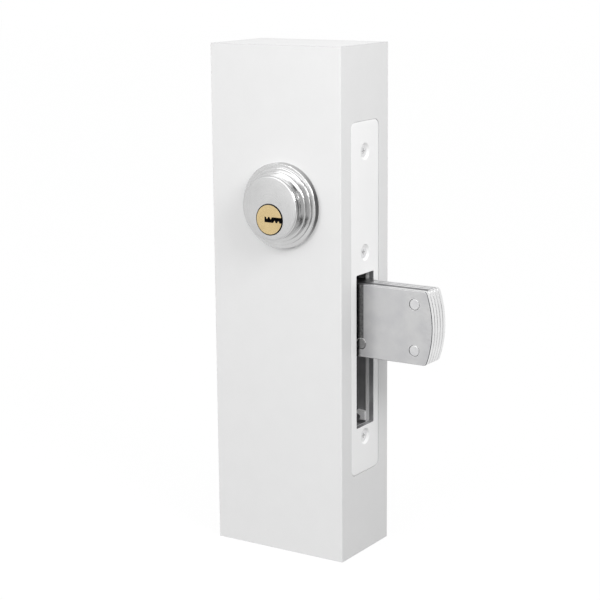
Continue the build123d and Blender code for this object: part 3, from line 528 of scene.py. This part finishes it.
# Guide clip: a small tab of thin steel with a fish-tailed end, on the case wall low inside the slot. Its
# plating is bright, so it shows in the dark slot.
clip_bright = plated_steel(
    "clip_bright", colour=(0.97, 0.97, 0.97), dark=(0.92, 0.92, 0.92),
    roughness=0.3, fineness=2200.0, depth=0.00001, metallic=0.1,
)
finished("bolt_guide_clip", "stile", edge_width=0.00015, finishes=(clip_bright,))

# Drive lever: two blanked steel cheeks on a turned hub, with the pin that works the bolt's tail, and the
# leaf spring that holds the hub at either end of its swing.
lever_steel = plated_steel(
    "lever_steel", colour=(0.48, 0.48, 0.49), dark=(0.38, 0.38, 0.39),
    roughness=0.38, fineness=1600.0, depth=0.00002,
)
spring_blue = plated_steel(
    "spring_steel", colour=(0.30, 0.31, 0.34), dark=(0.22, 0.23, 0.26),
    roughness=0.28, fineness=2400.0, depth=0.00001, stretch=(1, 1, 0.2),
)
dress(lever_steel, "outer_lever_plate", "inner_lever_plate", "lever_hub")
dress(fastener_zinc, "drive_pin", "lever_pivot_pin")
dress(spring_blue, "detent_spring")

# Threaded rings: turned steel rings on the case, one for each cylinder, zinc plated with it. A blued set
# screw in each ring locks its cylinder.
dress(case_zinc, "outer_thread_ring", "inner_thread_ring")
dress(spring_blue, "ring_set_screws")

# Trim rings and cylinders: turned brass, ground and plated in satin chrome. The tool leaves a trace of
# rings about the cylinders' shared axis. The trim rings, and most of all the cylinders' sides, are
# smoother and brighter than the cylinders' faces.


def rings_group():
    """Very fine rings about an axis along Y, which Shift brings to the origin."""
    tree, given, made = new_group("turned_rings", {"Shift": (0.0, 0.0, 0.0)}, ("Rings",))
    centred = tree.nodes.new("ShaderNodeMapping")
    centred.inputs["Scale"].default_value = (1.0, 0.0, 1.0)
    tree.links.new(tree.nodes.new("ShaderNodeTexCoord").outputs["Object"], centred.inputs["Vector"])
    tree.links.new(given.outputs["Shift"], centred.inputs["Location"])
    distance = tree.nodes.new("ShaderNodeVectorMath")
    distance.operation = "LENGTH"
    tree.links.new(centred.outputs["Vector"], distance.inputs[0])
    rings = tree.nodes.new("ShaderNodeTexNoise")
    rings.noise_dimensions = "1D"
    rings.inputs["Scale"].default_value = 5000.0
    rings.inputs["Detail"].default_value = 3.0
    tree.links.new(distance.outputs["Value"], rings.inputs["W"])
    tree.links.new(rings.outputs["Fac"], made.inputs["Rings"])
    return tree


rings_tree = rings_group()
ring_low, ring_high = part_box("outer_trim_ring")
axis = (ring_low + ring_high) / 2


def satin_chrome(name, colour, roughness):
    """Satin chrome on turned metal: very fine rings about the cylinders' axis, and faint blotches."""
    material, _ = new_material(
        name, colour, blotches=scaled(colour, 0.94), edges=scaled(colour, 1.1),
        fineness=1500.0, edge_width=0.0003, metallic=1.0,
    )
    rings = placed(material.node_tree, rings_tree, {"Shift": (-axis.x, 0.0, -axis.z)})
    textured(
        material, rings.outputs["Rings"],
        smooth=roughness - 0.04, rough=roughness + 0.05, depth=0.000004, strength=0.4,
    )
    return material


trim_chrome = satin_chrome("trim_chrome", colour=(0.59, 0.59, 0.59), roughness=0.19)
face_chrome = satin_chrome("face_chrome", colour=(0.545, 0.545, 0.545), roughness=0.3)
side_chrome = satin_chrome("side_chrome", colour=(0.66, 0.66, 0.66), roughness=0.1)
for side in ("outer", "inner"):
    finished(f"{side}_trim_ring", "stile", edge_width=0.0001, finishes=(trim_chrome,))

# The key cylinder's bore shows only as a gap round the plug, painted dark as shade: it is the faces round
# the plug's axis, from face_skin behind the cylinder's face.
plug_low, plug_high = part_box("key_plug")
plug_axis = (plug_low + plug_high) / 2
plug_clearance, face_skin = 0.0012, 0.0001
bore_radius = (plug_high.x - plug_low.x) / 2 + plug_clearance
bore_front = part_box("key_cylinder_body")[0].y + face_skin
# A cylinder's side is the faces whose normals lie less than this along Y.
side_face = 0.7
for name in ("key_cylinder_body", "turn_cylinder_body"):
    cylinder = finished(
        name, "stile", edge_width=0.00015, finishes=(face_chrome, side_chrome, seam_and_shade_dark)
    )
    for face in cylinder.data.polygons:
        in_bore = math.hypot(face.center.x - plug_axis.x, face.center.z - plug_axis.z) < bore_radius
        if in_bore and name == "key_cylinder_body" and face.center.y > bore_front:
            recoat(cylinder, face, seam_and_shade_dark)
        elif abs(face.normal.y) < side_face:
            recoat(cylinder, face, side_chrome)

# Key plug: free-cutting brass, turned and polished, with its keyway broached from the front. The pins,
# their springs and the strip that closes the chambers are inside, and the cams screw to the back ends.
# The bolt's bronze bush is finished alike.


def brass(name, colour, dark, roughness):
    """Plain brass, lightly polished, with a soft variation from handling."""
    material, grain = new_material(
        name, colour, blotches=dark, edges=scaled(colour, 1.15),
        fineness=1800.0, edge_width=0.00025, metallic=1.0,
    )
    textured(
        material, grain, smooth=roughness - 0.02, rough=roughness + 0.03, depth=0.00001, strength=0.02
    )
    return material


plug_brass = brass("plug_brass", colour=(0.63, 0.49, 0.265), dark=(0.57, 0.44, 0.235), roughness=0.26)
key_plug = finished("key_plug", "plug", edge_width=0.00012, finishes=(plug_brass, seam_and_shade_dark))
# The keyway's walls and the plug's round side are the faces whose normals lie less than this along Y;
# they are painted dark as shade in the keyway and in the gap round the plug.
keyway_wall = 0.5
for face in key_plug.data.polygons:
    if abs(face.normal.y) < keyway_wall:
        recoat(key_plug, face, seam_and_shade_dark)
dress(plug_brass, "key_pins", "driver_pins", "chamber_strip", "key_cam", "turn_cam", "turn_spindle")
dress(plug_brass, "bolt_bush")
dress(fastener_zinc, "key_cam_screws", "turn_cam_screws", "knob_screw")
dress(spring_blue, "pin_springs")

# Turn knob: a cast wing on the room side, plated like the faces of the cylinders. It sits on the
# spindle's square end, and a small screw holds it there.
finished("turn_knob", "knob", edge_width=0.0003, finishes=(face_chrome,), edge_steps=3)

# Studio: one broad lamp in front and a small one by the stile's edge, and cards that only reflections
# see, which give the chrome its dark bands. The world and the floor look white to the camera and in
# reflections, and are dimmer as light on the object.


def soft_lamp(name, place, target, size, power):
    """A square area lamp, turned to a target, of a size in metres and a power in watts."""
    data = bpy.data.lights.new(name, "AREA")
    data.shape = "SQUARE"
    data.size = size
    data.energy = power
    lamp = bpy.data.objects.new(name, data)
    bpy.context.scene.collection.objects.link(lamp)
    lamp.location = place
    lamp.rotation_mode = "QUATERNION"
    lamp.rotation_quaternion = (Vector(target) - Vector(place)).to_track_quat("-Z", "Y")


middle = Vector((0.0, 0.0, cad_bounds[1][2] / 2))
soft_lamp("front_lamp", place=(-0.36, -1.7, 0.8), target=middle, size=1.4, power=14.8)
soft_lamp("edge_lamp", place=(0.46, -0.20, 0.47), target=(0.037, 0.0, 0.22), size=0.25, power=1.5)


def shader_mix(tree, factor, first, second, surface):
    """Shows a first shader where a factor is 0 and a second where it is 1."""
    mix = tree.nodes.new("ShaderNodeMixShader")
    for socket, source in zip(mix.inputs, (factor, first.outputs[0], second.outputs[0])):
        tree.links.new(source, socket)
    tree.links.new(mix.outputs[0], surface.inputs["Surface"])


def reflector(name, place, target, width, height, brightness, one_sided=False):
    """A card that only shows in reflections; a one-sided card also fades towards its top and foot."""
    bpy.ops.mesh.primitive_plane_add(size=1.0, location=(0, 0, 0))
    board = bpy.context.active_object
    board.name = name
    facing = (Vector(target) - Vector(place)).to_track_quat("Z", "Y").to_matrix().to_4x4()
    shape = Matrix.Diagonal((width, height, 1.0, 1.0))
    board.data.transform(Matrix.Translation(place) @ facing @ shape)
    board.visible_camera = False
    board.visible_diffuse = False
    board.visible_transmission = False
    board.visible_shadow = False
    paper = bpy.data.materials.new(name)
    paper.use_nodes = True
    tree = paper.node_tree
    tree.nodes.clear()
    light = tree.nodes.new("ShaderNodeEmission")
    light.inputs["Strength"].default_value = brightness
    surface = tree.nodes.new("ShaderNodeOutputMaterial")
    if one_sided:
        fade_start, fade_end, end_brightness = 0.12, 0.5, 0.8
        parts = tree.nodes.new("ShaderNodeSeparateXYZ")
        tree.links.new(tree.nodes.new("ShaderNodeTexCoord").outputs["UV"], parts.inputs[0])
        off_middle = math_node(tree, "ABSOLUTE", math_node(tree, "SUBTRACT", parts.outputs["Y"], 0.5))
        faded = mapped(
            tree, off_middle, fade_start, fade_end, at_start=brightness, at_end=end_brightness
        )
        faded.node.interpolation_type = "SMOOTHSTEP"
        tree.links.new(faded, light.inputs["Strength"])
        geometry = tree.nodes.new("ShaderNodeNewGeometry")
        through = tree.nodes.new("ShaderNodeBsdfTransparent")
        shader_mix(tree, geometry.outputs["Backfacing"], light, through, surface)
    else:
        tree.links.new(light.outputs[0], surface.inputs["Surface"])
    board.data.materials.append(paper)


flag_aim = (0.0, 0.0, 0.17)
reflector(
    "dark_flag", place=(0.47, -0.33, 0.30), target=flag_aim, width=0.20, height=0.80, brightness=0.04
)
reflector(
    "grey_flag", place=(0.56, -0.11, 0.30), target=flag_aim, width=0.28, height=0.80, brightness=0.12
)
reflector(
    "dark_top_card",
    place=(0.23, -0.28, 0.53), target=(0.0, -0.03, 0.175), width=0.20, height=0.20, brightness=0.05,
)
reflector(
    "dark_floor_card",
    place=(0.14, -0.34, 0.002), target=(0.14, -0.34, 1.0), width=0.24, height=0.14, brightness=0.02,
)
# This card lies just off the stile's face, behind the trim ring and beside it.
reflector(
    "dark_near_card",
    place=(0.020, -0.0227, 0.1755), target=(0.020, -1.0, 0.1755), width=0.034, height=0.044,
    brightness=0.17, one_sided=True,
)


def seen_directly(tree):
    """Gives 1 for what the camera sees, also by reflection or through glass, and 0 for light on things."""
    rays = tree.nodes.new("ShaderNodeLightPath")
    seen = math_node(tree, "MAXIMUM", rays.outputs["Is Camera Ray"], rays.outputs["Is Glossy Ray"])
    return math_node(tree, "MAXIMUM", seen, rays.outputs["Is Transmission Ray"])


world = bpy.data.worlds.new("white_studio")
bpy.context.scene.world = world
world.use_nodes = True
sky = world.node_tree
sky_light = sky.nodes["Background"]
sky_light.inputs["Strength"].default_value = 0.75
sky_seen = sky.nodes.new("ShaderNodeBackground")
sky_seen.inputs["Strength"].default_value = 1.0
for background in (sky_light, sky_seen):
    background.inputs["Color"].default_value = (1, 1, 1, 1)
shader_mix(sky, seen_directly(sky), sky_light, sky_seen, sky.nodes["World Output"])

bpy.ops.mesh.primitive_plane_add(size=8.0, location=(0, 0, 0))
floor = bpy.context.active_object
floor.name = "studio_floor"
floor_paint = bpy.data.materials.new("floor_paint")
floor_paint.use_nodes = True
paint = floor_paint.node_tree
paint_shader = paint.nodes["Principled BSDF"]
paint_shader.inputs["Base Color"].default_value = (0.24, 0.24, 0.24, 1)
paint_shader.inputs["Roughness"].default_value = 0.9
glow = paint.nodes.new("ShaderNodeEmission")
glow.inputs["Strength"].default_value = 1.29
glow_share = 0.72
glow_seen = math_node(paint, "MULTIPLY", seen_directly(paint), glow_share)
shader_mix(paint, glow_seen, paint_shader, glow, paint.nodes["Material Output"])
floor.data.materials.append(floor_paint)

# Camera: a long lens to the right of the key side and a little above the lock, rolled by half a degree.
# Its place and its focal length, in pixels of a 600-pixel frame, were fitted to the photograph's edges.
azimuth = math.radians(32.82)
elevation = math.radians(12.2)
roll = math.radians(-0.5)
distance = 0.836
focal_pixels = 1672.4
frame_pixels = 600
back = Vector(
    (
        math.sin(azimuth) * math.cos(elevation),
        -math.cos(azimuth) * math.cos(elevation),
        math.sin(elevation),
    )
)
level_right = Vector((math.cos(azimuth), math.sin(azimuth), 0.0))
level_up = back.cross(level_right)
camera_right = level_right * math.cos(roll) + level_up * math.sin(roll)
camera_up = back.cross(camera_right)
aim_left, aim_down = 0.00065, 0.00165
aim = middle - camera_right * aim_left - camera_up * aim_down
camera_data = bpy.data.cameras.new("camera")
camera_data.sensor_width = 36.0
camera_data.lens = focal_pixels * camera_data.sensor_width / frame_pixels
camera = bpy.data.objects.new("camera", camera_data)
bpy.context.scene.collection.objects.link(camera)
turn = Matrix((camera_right, camera_up, back)).transposed()
camera.matrix_world = Matrix.Translation(aim + back * distance) @ turn.to_4x4()
bpy.context.scene.camera = camera
bpy.context.scene.view_settings.view_transform = "Standard"
